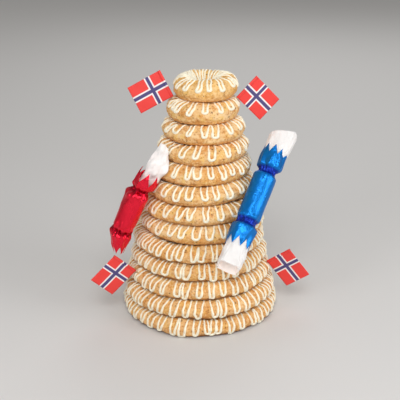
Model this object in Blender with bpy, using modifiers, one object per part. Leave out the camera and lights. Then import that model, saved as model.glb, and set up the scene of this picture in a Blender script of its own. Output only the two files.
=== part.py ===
"""Kransekake: thirteen baked almond rings stacked into a hollow tower, with flags and crackers.

Frame: metres, +Z up, the front towards -Y. The tower stands on z = 0. The origin is at the bottom
centre of the whole outline, flags and crackers included, and TOWER_AXIS says where that leaves the
tower. Sizes are written in millimetres and turned into metres by MM.
"""
import math
from collections import namedtuple

import bmesh
import bpy
from mathutils import Vector

MM = 0.001
GAP = 0.3 * MM                      # what neighbouring pieces keep between them
MERGE = 0.00001                     # merge distance of the turned shapes

TOWER_AXIS = (-0.9, 10.0)           # millimetres; the places below are measured from it

# ---- The rings: top ring first ------------------------------------------------------------------
RING_DIAMETERS = (76, 86, 98, 109, 121, 134, 144, 152, 160, 166, 175, 187, 192)
RING_SHIFTS = (7, 5, 5, 4, 1, -2, 0, 2, -2, -2, -2, -1, -1)   # stacked by hand: how far towards +X
ROPE_WIDTH = 26.0 * MM              # the rolled rope of dough, across
TALL_RINGS = 2                      # the two top rings are rolled a little thicker
TALL_ROPE_HEIGHT = 25.2 * MM
ROPE_HEIGHT_HIGH = 22.9 * MM        # height of the rope at the top of the tower
ROPE_HEIGHT_LOW = 21.8 * MM         # and at its foot, where it carries the most
ROPE_POINTS = 11                    # corners of the rope's section
CROWN_POWER = 1.73                  # roundness of the section: 2 is an ellipse, more is boxier
SOLE_POWER = 2.38
RING_STEP = 18.0 * MM               # length of one facet round a ring
FEWEST_STEPS = 18

# ---- Flags on picks -----------------------------------------------------------------------------
PICK_RADIUS = 1.0 * MM
PICK_POINT = 5.0 * MM               # length of the sharpened end
PICK_IN_DOUGH = 22.0 * MM
PICK_STEPS = 8
HOLE_RADIUS = PICK_RADIUS + GAP
FLAG_HEIGHT = 34.0 * MM             # along the pick
FLAG_LENGTH = 44.0 * MM             # away from the pick
PAPER = 0.4 * MM                    # a doubled sheet, glued
SLEEVE_OUTER = HOLE_RADIUS + 0.3 * MM
SLEEVE_STEPS = 16

# foot: where the flag's lower corner meets the cake; heading is turned from +X, rise is the pick's
# angle above level, turn swings the flag about its pick, and ring is the ring that is pierced
FlagSpot = namedtuple("FlagSpot", "name foot heading rise turn ring")
FLAGS = (
    FlagSpot("upper_left", (-31, -8, 275), 154, 59, 17, 2),
    FlagSpot("upper_right", (45, -3.5, 271.5), 16, 44, 5, 2),
    FlagSpot("lower_left", (-80, -40, 64), 191, 42, -6, 11),
    FlagSpot("lower_right", (83.5, -15, 63), -14, 34, 10, 11),
)

# ---- Crackers -----------------------------------------------------------------------------------
FOIL = 0.6 * MM
STEPS_PER_TOOTH = 2
PAPER_WALL = 0.8 * MM
PAPER_START = 8.0 * MM              # where the paper tube begins, out from the neck
CUP_DEPTH_LEFT = 6.0 * MM           # the foil is solid up to here, out from the neck
NECK_HALF = 3.5 * MM
SHOULDER = 3.0 * MM
TISSUE_STEPS = 12

# End: radii of the barrel beside it, the neck, the flare and the mouth, and how far the cut's
# notches and points lie out from the neck; bend swings the end about the neck, in degrees.
# Tube: the paper that stands open out of an end, its length measured from the neck. Tissue: the
# same paper crushed flat, as sections that each have a middle and two half sizes
End = namedtuple("End", "barrel neck flare mouth notch point bend")
Tube = namedtuple("Tube", "end length radius")
Section = namedtuple("Section", "out across depth half_width half_thickness")
Cracker = namedtuple("Cracker", "name middle heading rise neck_spacing teeth low high tubes tissue")
CRACKERS = (
    Cracker("blue", (66.6, -50, 164.0), 57, 45, 67.0, 9,
            End(14.0, 11.4, 15.0, 14.7, 21, 32, 0), End(14.0, 10.6, 15.2, 14.8, 21, 32, 0),
            (Tube("low", 58, 13.7), Tube("high", 53.5, 13.7)), ()),
    Cracker("red", (-82.1, -46, 147.9), 0, 66, 56.5, 7,
            End(12.6, 10.4, 12.6, 9.8, 19, 30, 12), End(14.7, 10.4, 12.8, 13.8, 12, 26, 8),
            (), (Section(8.0, 2.0, 0, 8.8, 7.0), Section(20, 5.6, 0, 10.2, 6.0),
                 Section(38, 8.0, 1, 12.2, 4.2), Section(52, 7.5, 5, 8.0, 2.6),
                 Section(60, 4.9, 8, 3.5, 1.2))),
)

# ---- Materials: colour, roughness, metallic -----------------------------------------------------
MATERIALS = {
    "dough": ((0.62, 0.36, 0.14), 0.75, 0.0),
    "flag_paper": ((0.78, 0.05, 0.05), 0.7, 0.0),
    "pick_wood": ((0.70, 0.52, 0.32), 0.7, 0.0),
    "blue_foil": ((0.01, 0.20, 0.75), 0.25, 0.9),
    "red_foil": ((0.60, 0.01, 0.03), 0.25, 0.9),
    "white_paper": ((0.90, 0.88, 0.85), 0.8, 0.0),
}


def clear_scene():
    for item in list(bpy.data.objects):
        bpy.data.objects.remove(item, do_unlink=True)


def new_collection(name):
    collection = bpy.data.collections.new(name)
    bpy.context.scene.collection.children.link(collection)
    return collection


def make_material(name):
    colour, roughness, metallic = MATERIALS[name]
    material = bpy.data.materials.new(name)
    material.use_nodes = True
    shader = material.node_tree.nodes["Principled BSDF"]
    shader.inputs["Base Color"].default_value = (*colour, 1.0)
    shader.inputs["Roughness"].default_value = roughness
    shader.inputs["Metallic"].default_value = metallic
    material.diffuse_color = (*colour, 1.0)
    return material


def add_object(name, data, collection, material=None, parent=None):
    item = bpy.data.objects.new(name, data)
    collection.objects.link(item)
    if material:
        data.materials.append(material)
    item.parent = parent
    return item


def add_empty(name, collection, place, parent=None):
    stand = bpy.data.objects.new(name, None)
    stand.location = Vector(place) * MM
    stand.parent = parent
    collection.objects.link(stand)
    return stand


def leaning_stand(name, collection, tower, place, heading, rise):
    """An empty whose Z axis points along a pick or a cracker: rise degrees above level."""
    stand = add_empty(name, collection, place, tower)
    stand.rotation_euler = (0.0, math.radians(90 - rise), math.radians(heading))
    return stand


def turned(name, profile, steps, collection, material=None, parent=None, closed=False):
    """A profile of (radius, z) points turned about Z; it runs down its outer side."""
    mesh = bpy.data.meshes.new(name)
    edges = [(k, k + 1) for k in range(len(profile) - 1)]
    if closed:
        edges.append((len(profile) - 1, 0))
    mesh.from_pydata([(radius, 0.0, z) for radius, z in profile], edges, [])
    item = add_object(name, mesh, collection, material, parent)
    screw = item.modifiers.new("turn", "SCREW")
    screw.axis = "Z"
    screw.steps = screw.render_steps = steps
    screw.use_merge_vertices = True
    screw.merge_threshold = MERGE
    screw.use_smooth_shade = True
    return item


# ---- Rings --------------------------------------------------------------------------------------
def rope_height(index):
    if index < TALL_RINGS:
        return TALL_ROPE_HEIGHT
    share = index / (len(RING_DIAMETERS) - 1)
    return ROPE_HEIGHT_HIGH + (ROPE_HEIGHT_LOW - ROPE_HEIGHT_HIGH) * share


def rope_section(height):
    """The rope's outline as (offset, z) points with a flat sole at z = 0, top to bottom outside."""
    points = []
    for k in range(ROPE_POINTS):
        angle = math.pi / 2 - math.tau * k / ROPE_POINTS
        across, up = math.cos(angle), math.sin(angle)
        power = 2 / (CROWN_POWER if up >= 0 else SOLE_POWER)
        points.append((math.copysign(abs(across) ** power, across),
                       math.copysign(abs(up) ** power, up)))
    widest = max(across for across, up in points)
    lowest = min(up for across, up in points)
    return [(across / widest * ROPE_WIDTH / 2, (up - lowest) / (1 - lowest) * height)
            for across, up in points]


def build_rings(tower, collection, material):
    rings = {}
    base = 0.0
    for index in reversed(range(len(RING_DIAMETERS))):
        height = rope_height(index)
        diameter = RING_DIAMETERS[index] * MM
        middle = (diameter - ROPE_WIDTH) / 2
        profile = [(middle + across, z) for across, z in rope_section(height)]
        steps = max(FEWEST_STEPS, round(math.pi * diameter / RING_STEP))
        number = index + 1
        ring = turned(f"ring_{number:02d}", profile, steps, collection, material, tower, True)
        ring.location = (RING_SHIFTS[index] * MM, 0.0, base)
        rings[number] = ring
        base += height + GAP
    return rings


# ---- Flags on picks -----------------------------------------------------------------------------
def build_pick(spot, stand, collection, material):
    """A pointed wooden stick; its top ends level with the flag's upper edge."""
    profile = [(0.0, FLAG_HEIGHT), (PICK_RADIUS, FLAG_HEIGHT),
               (PICK_RADIUS, PICK_POINT - PICK_IN_DOUGH), (0.0, -PICK_IN_DOUGH)]
    turned(f"pick_{spot.name}", profile, PICK_STEPS, collection, material, stand)


def pierce_ring(spot, stand, ring, cutters):
    """The hole that the pick has pushed into its ring."""
    profile = [(0.0, FLAG_HEIGHT), (HOLE_RADIUS, FLAG_HEIGHT),
               (HOLE_RADIUS, -PICK_IN_DOUGH - GAP), (0.0, -PICK_IN_DOUGH - GAP)]
    cutter = turned(f"hole_{spot.name}", profile, PICK_STEPS, cutters, parent=stand)
    cutter.hide_render = True
    cutter.display_type = "WIRE"
    cut = ring.modifiers.new(f"hole_{spot.name}", "BOOLEAN")
    cut.operation = "DIFFERENCE"
    cut.object = cutter


def add_loop(curve, points):
    spline = curve.splines.new("POLY")
    spline.points.add(len(points) - 1)
    for point, (x, y) in zip(spline.points, points):
        point.co = (x, y, 0.0, 1.0)
    spline.use_cyclic_u = True


def build_flag(spot, stand, collection, material):
    """A doubled paper sheet that runs round its pick as a sleeve and out to one side."""
    half = PAPER / 2
    opening = math.asin(half / SLEEVE_OUTER)
    arc = [opening + (math.tau - 2 * opening) * k / SLEEVE_STEPS for k in range(SLEEVE_STEPS + 1)]
    outline = [(SLEEVE_OUTER * math.cos(a), SLEEVE_OUTER * math.sin(a)) for a in arc]
    outline += [(FLAG_LENGTH, -half), (FLAG_LENGTH, half)]
    bore = [(HOLE_RADIUS * math.cos(math.tau * k / SLEEVE_STEPS),
             HOLE_RADIUS * math.sin(math.tau * k / SLEEVE_STEPS)) for k in range(SLEEVE_STEPS)]
    curve = bpy.data.curves.new(f"flag_{spot.name}", "CURVE")
    curve.dimensions = "2D"
    curve.fill_mode = "BOTH"
    curve.extrude = FLAG_HEIGHT / 2
    add_loop(curve, outline)
    add_loop(curve, bore)
    flag = add_object(f"flag_{spot.name}", curve, collection, material, stand)
    flag.location = (0.0, 0.0, FLAG_HEIGHT / 2)
    flag.rotation_euler = (0.0, 0.0, math.radians(spot.turn))


# ---- Crackers -----------------------------------------------------------------------------------
def tooth(step):
    """0 at a notch of the zigzag cut, 1 at a point."""
    phase = (step % STEPS_PER_TOOTH) / STEPS_PER_TOOTH
    return 1 - abs(2 * phase - 1)


def add_row(bm, steps, neck, side, out, radius, bend=0.0, jag=0.0):
    """One closed row of points, out from a neck; side is +1 for the high end, -1 for the low."""
    row = []
    for step in range(steps):
        angle = math.tau * step / steps
        reach = out + jag * tooth(step)
        across = radius * math.cos(angle) + math.sin(bend) * reach
        along = side * (neck + math.cos(bend) * reach)
        row.append(bm.verts.new((across, radius * math.sin(angle), along)))
    return row


def skin(bm, rows):
    """Closes a run of rows with quads between them and a cap at each end."""
    for lower, upper in zip(rows, rows[1:]):
        for k, corner in enumerate(lower):
            after = (k + 1) % len(lower)
            bm.faces.new((corner, lower[after], upper[after], upper[k]))
    bm.faces.new(list(reversed(rows[0])))
    bm.faces.new(rows[-1])


def finish_body(name, bm, collection, material, stand):
    bmesh.ops.recalc_face_normals(bm, faces=bm.faces)
    mesh = bpy.data.meshes.new(name)
    bm.to_mesh(mesh)
    bm.free()
    mesh.shade_smooth()
    mesh.set_sharp_from_angle(angle=math.radians(40))
    add_object(name, mesh, collection, material, stand)


def foil_end(bm, cracker, end, side):
    """Rows from the floor of the cup, over the zigzag mouth and in past the neck to the barrel."""
    steps = cracker.teeth * STEPS_PER_TOOTH
    neck = cracker.neck_spacing * MM / 2
    bend = math.radians(end.bend)
    jag = (end.point - end.notch) * MM
    rows = []

    def put(out, radius, bend=0.0, jag=0.0):
        rows.append(add_row(bm, steps, neck, side, out, radius, bend, jag))

    put(CUP_DEPTH_LEFT, end.flare * MM - 2 * FOIL, bend)
    put(end.notch * MM, end.mouth * MM - FOIL, bend, jag)
    put(end.notch * MM, end.mouth * MM, bend, jag)
    put(2 * NECK_HALF, end.flare * MM, bend)
    put(0.0, end.neck * MM)
    put(-NECK_HALF, end.barrel * MM - SHOULDER / 2)
    put(-NECK_HALF - SHOULDER, end.barrel * MM)
    return rows


def build_foil(cracker, stand, collection, material):
    """The card tube in its foil: a barrel between two crimped necks, with zigzag flares."""
    bm = bmesh.new()
    low = foil_end(bm, cracker, cracker.low, -1)
    high = foil_end(bm, cracker, cracker.high, 1)
    skin(bm, low + list(reversed(high)))
    finish_body(f"cracker_{cracker.name}_foil", bm, collection, material, stand)


def build_tube(cracker, tube, stand, collection, material):
    """The open paper tube that stands out of a flare."""
    bm = bmesh.new()
    end = getattr(cracker, tube.end)
    side = 1 if tube.end == "high" else -1
    neck = cracker.neck_spacing * MM / 2
    length = tube.length * MM
    notch = end.notch * MM
    outside = [(PAPER_START, 2 * PAPER_WALL), (notch, PAPER_WALL / 2), (length, 0.0)]
    inside = [(length, PAPER_WALL), (notch, 1.5 * PAPER_WALL),
              (PAPER_START + PAPER_WALL, 3 * PAPER_WALL)]
    skin(bm, [add_row(bm, cracker.teeth * STEPS_PER_TOOTH, neck, side, out,
                      tube.radius * MM - inset, math.radians(end.bend))
              for out, inset in outside + inside])
    finish_body(f"cracker_{cracker.name}_paper_{tube.end}", bm, collection, material, stand)


def build_tissue(cracker, stand, collection, material):
    """The crushed paper that stands out of the high end and narrows to its tip."""
    bm = bmesh.new()
    neck = cracker.neck_spacing * MM / 2
    rows = []
    for section in cracker.tissue:
        row = []
        for step in range(TISSUE_STEPS):
            angle = math.tau * step / TISSUE_STEPS
            row.append(bm.verts.new((
                (section.across + section.half_width * math.cos(angle)) * MM,
                (section.depth + section.half_thickness * math.sin(angle)) * MM,
                neck + section.out * MM)))
        rows.append(row)
    skin(bm, rows)
    finish_body(f"cracker_{cracker.name}_paper_high", bm, collection, material, stand)


def build_model():
    clear_scene()
    model = new_collection("kransekake")
    cutters = new_collection("cutters")
    materials = {name: make_material(name) for name in MATERIALS}
    tower = add_empty("tower_axis", model, (*TOWER_AXIS, 0.0))
    rings = build_rings(tower, model, materials["dough"])
    for spot in FLAGS:
        stand = leaning_stand(f"stand_{spot.name}", model, tower, spot.foot, spot.heading,
                              spot.rise)
        build_pick(spot, stand, model, materials["pick_wood"])
        build_flag(spot, stand, model, materials["flag_paper"])
        pierce_ring(spot, stand, rings[spot.ring], cutters)
    for cracker in CRACKERS:
        stand = leaning_stand(f"stand_{cracker.name}", model, tower, cracker.middle,
                              cracker.heading, cracker.rise)
        build_foil(cracker, stand, model, materials[f"{cracker.name}_foil"])
        for tube in cracker.tubes:
            build_tube(cracker, tube, stand, model, materials["white_paper"])
        if cracker.tissue:
            build_tissue(cracker, stand, model, materials["white_paper"])
    bpy.context.view_layer.update()


build_model()
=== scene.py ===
"""Looks of the kransekake: baked almond rings, piped icing, paper flags and foil crackers.

Metres, +Z up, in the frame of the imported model. The front faces -Y.
"""
import math
from collections import namedtuple

import bmesh
import bpy
from mathutils import Matrix, Vector, noise


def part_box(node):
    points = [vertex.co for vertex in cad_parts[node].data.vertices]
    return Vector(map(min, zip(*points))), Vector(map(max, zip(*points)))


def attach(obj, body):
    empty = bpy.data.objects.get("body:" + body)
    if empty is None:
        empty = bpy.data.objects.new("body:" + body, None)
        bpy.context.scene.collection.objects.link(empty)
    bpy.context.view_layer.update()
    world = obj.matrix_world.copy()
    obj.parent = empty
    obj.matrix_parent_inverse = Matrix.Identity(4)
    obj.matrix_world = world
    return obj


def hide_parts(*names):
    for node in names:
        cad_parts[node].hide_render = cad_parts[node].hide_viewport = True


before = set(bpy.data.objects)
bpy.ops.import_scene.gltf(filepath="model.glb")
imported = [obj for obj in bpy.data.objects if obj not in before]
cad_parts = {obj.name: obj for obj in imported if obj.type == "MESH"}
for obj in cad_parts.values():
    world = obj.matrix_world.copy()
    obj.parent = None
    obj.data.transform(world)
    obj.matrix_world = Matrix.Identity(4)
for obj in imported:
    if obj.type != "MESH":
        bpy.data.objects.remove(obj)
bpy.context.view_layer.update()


# ==== The studio ==============================================
# A pale matt table under soft light, as a baker's cake is shown: a big soft light in front, weaker
# ones at the sides and behind, and a bright room. The camera looks down on the tower's front.
TABLE_HALF = 6.0
TABLE_COLOUR = (0.68, 0.67, 0.66)
TABLE_ROUGHNESS = 0.9
ROOM_COLOUR = (1.0, 0.985, 0.96)
ROOM_STRENGTH = 0.34
CAMERA_HEIGHT = 0.555
CAMERA_DISTANCE = 1.0135
CAMERA_AIM_HEIGHT = 0.1408
CAMERA_LENS = 79.83                     # millimetres, on a 36 mm sensor
CAMERA_ROLL = 0.009                     # radians
LIGHTS_AIM_HEIGHT = 0.15
BASE_RING_SHIFT = 0.001                 # the base ring sits this far to the left of the axis

base_low, base_high = (Vector(corner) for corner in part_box("ring_13"))
tower_middle = (base_low + base_high) / 2
tower_axis = Vector((tower_middle.x + BASE_RING_SHIFT, tower_middle.y, 0.0))


def matt_table():
    """Even matt paint."""
    finish = bpy.data.materials.new("pale_table")
    finish.use_nodes = True
    sockets = finish.node_tree.nodes["Principled BSDF"].inputs
    sockets["Base Color"].default_value = (*TABLE_COLOUR, 1)
    sockets["Roughness"].default_value = TABLE_ROUGHNESS
    return finish


corners = [(x * TABLE_HALF, y * TABLE_HALF, 0.0) for x, y in ((-1, -1), (1, -1), (1, 1), (-1, 1))]
table_mesh = bpy.data.meshes.new("table")
table_mesh.from_pydata(corners, [], [(0, 1, 2, 3)])
table_mesh.materials.append(matt_table())
table = bpy.data.objects.new("table", table_mesh)
bpy.context.scene.collection.objects.link(table)

camera = bpy.data.objects.new("camera", bpy.data.cameras.new("camera"))
camera.data.lens = CAMERA_LENS
camera.data.clip_start = 0.05
camera.location = tower_axis + Vector((0.0, -CAMERA_DISTANCE, CAMERA_HEIGHT))
aim = tower_axis + Vector((0.0, 0.0, CAMERA_AIM_HEIGHT)) - camera.location
camera.rotation_euler = aim.to_track_quat("-Z", "Y").to_euler()
camera.rotation_euler.rotate_axis("Z", -CAMERA_ROLL)
bpy.context.scene.collection.objects.link(camera)
bpy.context.scene.camera = camera

# name, place, width, watts
SOFT_LIGHTS = (
    ("front", (0.00, -1.20, 1.22), 0.7, 11.8),
    ("left", (-0.95, -1.05, 0.7), 0.4, 4.0),
    ("right", (1.25, -0.65, 0.65), 0.8, 7.8),
    ("behind", (0.3, 1.4, 1.2), 1.2, 6.0),
)
for name, place, width, watts in SOFT_LIGHTS:
    light = bpy.data.objects.new(f"light_{name}", bpy.data.lights.new(name, "AREA"))
    light.data.size = width
    light.data.energy = watts
    light.location = place
    aim = Vector((0, 0, LIGHTS_AIM_HEIGHT)) - light.location
    light.rotation_euler = aim.to_track_quat("-Z", "Y").to_euler()
    bpy.context.scene.collection.objects.link(light)
room = bpy.data.worlds.new("room")
room.use_nodes = True
room.node_tree.nodes["Background"].inputs["Color"].default_value = (*ROOM_COLOUR, 1.0)
room.node_tree.nodes["Background"].inputs["Strength"].default_value = ROOM_STRENGTH
bpy.context.scene.world = room
bpy.context.scene.view_settings.view_transform = "Standard"


# ==== The rings ===============================================
# Ropes of almond dough, rolled by hand and baked in ring moulds: ground almonds, sugar and egg
# white. They are lumpy and grainy, golden on top, and sit crookedly; where they meet they are
# browner, partly from the mould and partly painted shade, and painted shade darkens the lower
# rings.
RING_COUNT = 13
ROPE_WIDTH = 0.026
CROWN_POWER = 1.73
SOLE_POWER = 2.38
SOLE_LEVEL = -0.966                     # the flat sole, as a share of the rope's half height
STEP_ROUND = 0.0012
STEPS_ACROSS = 60
# long swellings left by the hands, short ones a finger tip across, and the grain of the almonds:
# how far apart they lie, how high they stand, and their detail
LUMPS = ((0.034, 0.0014, 0), (0.0085, 0.0009, 1), (0.0032, 0.00050, 1))
ROLLING_CREASES = 0.0005                # shallow creases that run along the rope
CREASE_LENGTH = 0.030
CREASES_ACROSS = 2.2                    # about how many of them cross half the section
SEAM_PLACE = 0.335                      # a seam low on the outer face, as a share of the section
SEAM_HALF = 0.024
SEAM_DEPTH = 0.0010
LIP_PLACE = 0.385                       # the dough stands proud below it
LIP_HALF = 0.040
LIP_HEIGHT = 0.0007
SEAM_LENGTH = 0.045
SEAM_OPENS = (0.44, 0.58)               # the noise along the rope that starts and fully opens it
SEAM_WANDER = 0.12                      # how far it strays up and down, as a share of the section
SOLE_CALM = 0.004                       # the sole is flat, and the lumps start over this height

PALE_DOUGH = (0.87, 0.595, 0.30)
YELLOW_DOUGH = (0.84, 0.51, 0.145)
GOLDEN_DOUGH = (0.74, 0.385, 0.120)
BROWN_DOUGH = (0.44, 0.170, 0.035)
# orange blotches of the crust, and also the colour of painted shade on undersides and lower rings
ORANGE_DOUGH_AND_SHADE = (0.66, 0.27, 0.050)
SPECK_BROWN = (0.17, 0.07, 0.018)
PAINTED_SHADE_BROWN = (0.20, 0.066, 0.013)
TOP_RING_LEVEL = 0.275                  # the top ring stands alone and is baked yellower
PAINTED_SHADE_LOW_LEVEL = 0.14                  # painted shade darkens the rings well below it
PAINTED_SHADE_BELOW = 0.24                     # painted shade, brown towards the rings' soles below this height, more so lower down
BAKING_CLOUDS = 0.028
YELLOW_CLOUDS = 0.011
BLOTCHES = 0.0085
GRAIN = 0.0027
FINE_GRAIN = 0.0007
# flecks of almond skin: distance apart, size, and the share of places that have one
SMALL_SKINS = (0.0040, 0.0009, 0.20)
LARGE_SKINS = (0.0066, 0.0015, 0.36)


class Value:
    """The output of a node, and the sums that can be written on it."""

    def __init__(self, plan, socket):
        self.plan, self.socket = plan, socket

    def __getitem__(self, name):
        """Another output of the same node."""
        outputs = self.socket.node.outputs
        return Value(self.plan, next(out for out in outputs if out.enabled and out.name == name))

    def sum(self, operation, *others):
        """This value and any others, through one Math node."""
        return self.plan.add("ShaderNodeMath", {"operation": operation}, [self, *others])

    def __add__(self, other):
        return self.sum("ADD", other)

    def __sub__(self, other):
        return self.sum("SUBTRACT", other)

    def __rsub__(self, other):
        return self.plan.add("ShaderNodeMath", {"operation": "SUBTRACT"}, [other, self])

    def __mul__(self, other):
        return self.sum("MULTIPLY", other)

    def __truediv__(self, other):
        return self.sum("DIVIDE", other)

    def __floordiv__(self, other):
        return (self / other).sum("FLOOR")

    def __pow__(self, other):
        return self.sum("POWER", other)

    def __lt__(self, other):
        return self.sum("LESS_THAN", other)

    def __gt__(self, other):
        return self.sum("GREATER_THAN", other)

    def __abs__(self):
        return self.sum("ABSOLUTE")

    __radd__ = __add__
    __rmul__ = __mul__


class Plan:
    """A node tree that is being drawn up, for a finish or for a shape."""

    def __init__(self, tree):
        self.tree = tree

    def add(self, kind, settings=None, values=()):
        """One node: its type, its settings, and the values or links of its sockets."""
        node = self.tree.nodes.new(kind)
        for name, setting in (settings or {}).items():
            setattr(node, name, setting)
        sockets = [socket for socket in node.inputs if socket.enabled]
        named = values.items() if isinstance(values, dict) else enumerate(values)
        for key, value in named:
            socket = sockets[key] if isinstance(key, int) else next(
                one for one in sockets if one.name == key)
            if isinstance(value, Value):
                self.tree.links.new(value.socket, socket)
            else:
                socket.default_value = value
        outputs = [socket for socket in node.outputs if socket.enabled]
        return Value(self, outputs[0]) if outputs else None


def shape_plan(name, inputs):
    """A Geometry Nodes tree with named inputs; returns its plan, the input values and their ids."""
    tree = bpy.data.node_groups.new(name, "GeometryNodeTree")
    tree.interface.new_socket("Geometry", in_out="INPUT", socket_type="NodeSocketGeometry")
    ids = {}
    for label, kind in inputs.items():
        socket = tree.interface.new_socket(label, in_out="INPUT", socket_type=f"NodeSocket{kind}")
        ids[label] = socket.identifier
    tree.interface.new_socket("Geometry", in_out="OUTPUT", socket_type="NodeSocketGeometry")
    plan = Plan(tree)
    start = plan.add("NodeGroupInput")
    given = {label: start[label] for label in inputs}
    given["Geometry"] = start["Geometry"]
    return plan, given, ids


def close_plan(plan, geometry, material):
    """Every shape ends in Realize Instances and Set Material."""
    smooth = plan.add("GeometryNodeSetShadeSmooth", {}, {"Geometry": geometry})
    real = plan.add("GeometryNodeRealizeInstances", {}, {"Geometry": smooth})
    painted = plan.add("GeometryNodeSetMaterial", {}, {"Geometry": real, "Material": material})
    plan.add("NodeGroupOutput", {}, {"Geometry": painted})


def grow(name, start_mesh, tree, ids, settings):
    """Runs a Geometry Nodes tree on a mesh and returns the result as a plain mesh object."""
    seed = bpy.data.objects.new(f"{name}_seed", start_mesh)
    bpy.context.scene.collection.objects.link(seed)
    modifier = seed.modifiers.new("shape", "NODES")
    modifier.node_group = tree
    for label, setting in settings.items():
        modifier[ids[label]] = setting
    evaluated = seed.evaluated_get(bpy.context.evaluated_depsgraph_get())
    grown = bpy.data.meshes.new_from_object(evaluated)
    grown.name = name
    seed.modifiers.clear()
    bpy.data.objects.remove(seed)
    piece = bpy.data.objects.new(name, grown)
    bpy.context.scene.collection.objects.link(piece)
    return piece


def turn_of(share):
    """The cosine and sine of a share of a full turn."""
    angle = share * math.tau
    return angle.sum("COSINE"), angle.sum("SINE")


def signed_power(value, power):
    return value.sum("SIGN") * abs(value) ** power


def joined(x, y, z):
    return x.plan.add("ShaderNodeCombineXYZ", {}, [x, y, z])


def vector(operation, first, *others):
    """Sums on whole vectors."""
    return first.plan.add("ShaderNodeVectorMath", {"operation": operation}, [first, *others])


def stretched(arrow, length):
    return arrow.plan.add("ShaderNodeVectorMath", {"operation": "SCALE"},
                          {"Vector": arrow, "Scale": length})


def smooth_step(value, low, high):
    """0 at low, 1 at high, with an easy start and end."""
    return value.plan.add("ShaderNodeMapRange", {"interpolation_type": "SMOOTHSTEP"},
                          [value, low, high, 0.0, 1.0])


def clouds(place, size, detail=2.0, **more):
    """Soft noise, in clouds of about a size; a seed W gives other clouds."""
    settings = {"noise_dimensions": "4D"} if "W" in more else {}
    return place.plan.add("ShaderNodeTexNoise", settings,
                          {"Vector": place, "Scale": 1 / size, "Detail": detail, **more})


def swelling(cloud, height):
    """Soft noise as a rise and fall of about a height."""
    return (cloud - 0.5) * (4 * height)


def rolled_ring():
    """A rope of dough bent into a ring: a flat-soled oval section, carried round and made lumpy."""
    plan, given, ids = shape_plan("rolled_ring", {
        "Centre": "Vector", "Radius": "Float", "Height": "Float", "Steps round": "Int",
        "Seed": "Float", "Material": "Material"})

    def loop(name, steps, radius):
        """A circle, and each point's share of the way round it, which the skin keeps."""
        circle = plan.add("GeometryNodeCurvePrimitiveCircle", {},
                          {"Resolution": steps, "Radius": radius})
        share = plan.add("GeometryNodeSplineParameter")
        circle = plan.add("GeometryNodeStoreNamedAttribute", {"data_type": "FLOAT"},
                          {"Geometry": circle, "Name": name, "Value": share})
        return circle, plan.add("GeometryNodeInputNamedAttribute", {"data_type": "FLOAT"}, [name])

    path, round_share = loop("round", given["Steps round"], 1.0)
    section, across_share = loop("across", STEPS_ACROSS, 0.1)
    skin = plan.add("GeometryNodeCurveToMesh", {}, {"Curve": path, "Profile Curve": section})
    round_cos, round_sin = turn_of(round_share)
    up, out = turn_of(across_share)
    crown = up > 0.0
    power = crown * (2 / CROWN_POWER) + (1 - crown) * (2 / SOLE_POWER)
    out = signed_power(out, power)
    up = signed_power(up, power).sum("MAXIMUM", SOLE_LEVEL)
    radius = given["Radius"] + out * (ROPE_WIDTH / 2)
    height = (up - SOLE_LEVEL) * given["Height"] / (1 - SOLE_LEVEL)
    place = joined(radius * round_cos, radius * round_sin, height)

    lumps = 0.0
    for size, depth, detail in LUMPS:
        lumps = swelling(clouds(place, size, detail, W=given["Seed"]), depth) + lumps
    unrolled = joined(given["Radius"] * round_cos / CREASE_LENGTH,
                      given["Radius"] * round_sin / CREASE_LENGTH, up * CREASES_ACROSS)
    creases = clouds(unrolled, 1.0, W=out * CREASES_ACROSS + given["Seed"])
    lumps = swelling(creases, ROLLING_CREASES) + lumps
    run = plan.add("ShaderNodeTexNoise", {"noise_dimensions": "4D"}, {
        "Vector": joined(round_cos, round_sin, 0.0), "W": given["Seed"],
        "Scale": given["Radius"] / SEAM_LENGTH, "Detail": 1.0})
    open_seam = smooth_step(run, *SEAM_OPENS)
    for place_across, half, depth in ((SEAM_PLACE, SEAM_HALF, -SEAM_DEPTH),
                                      (LIP_PLACE, LIP_HALF, LIP_HEIGHT)):
        off = across_share - place_across - (run - 0.5) * SEAM_WANDER
        ridge = smooth_step(abs(off), half, 0.0)
        lumps = ridge * open_seam * depth + lumps
    lumps = lumps * smooth_step(height, 0.0, SOLE_CALM)
    outward = vector("NORMALIZE", joined(out * round_cos, out * round_sin, up))
    place = vector("ADD", place, stretched(outward, lumps))
    place = vector("ADD", place, given["Centre"])
    skin = plan.add("GeometryNodeSetPosition", {}, {"Geometry": skin, "Position": place})
    close_plan(plan, skin, given["Material"])
    return plan.tree, ids


def finish_plan(name):
    """A new material and the plan of its nodes, with the object's own coordinates."""
    material = bpy.data.materials.new(name)
    material.use_nodes = True
    material.node_tree.nodes.clear()
    plan = Plan(material.node_tree)
    return material, plan, plan.add("ShaderNodeTexCoord")["Object"]


def close_finish(plan, sockets):
    shader = plan.add("ShaderNodeBsdfPrincipled", {}, sockets)
    plan.add("ShaderNodeOutputMaterial", {}, {"Surface": shader})


def mixed(share, first, second):
    """Two colours, mixed by a share of the second."""
    first, second = ((*colour, 1.0) if isinstance(colour, tuple) else colour
                     for colour in (first, second))
    return share.plan.add("ShaderNodeMix", {"data_type": "RGBA"},
                          {"Factor": share, "A": first, "B": second})


def bumped(height, depth, strength=1.0):
    """The normal of a surface with this relief, whose depth is in metres."""
    return height.plan.add("ShaderNodeBump", {},
                           {"Strength": strength, "Distance": depth, "Height": height})


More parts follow.
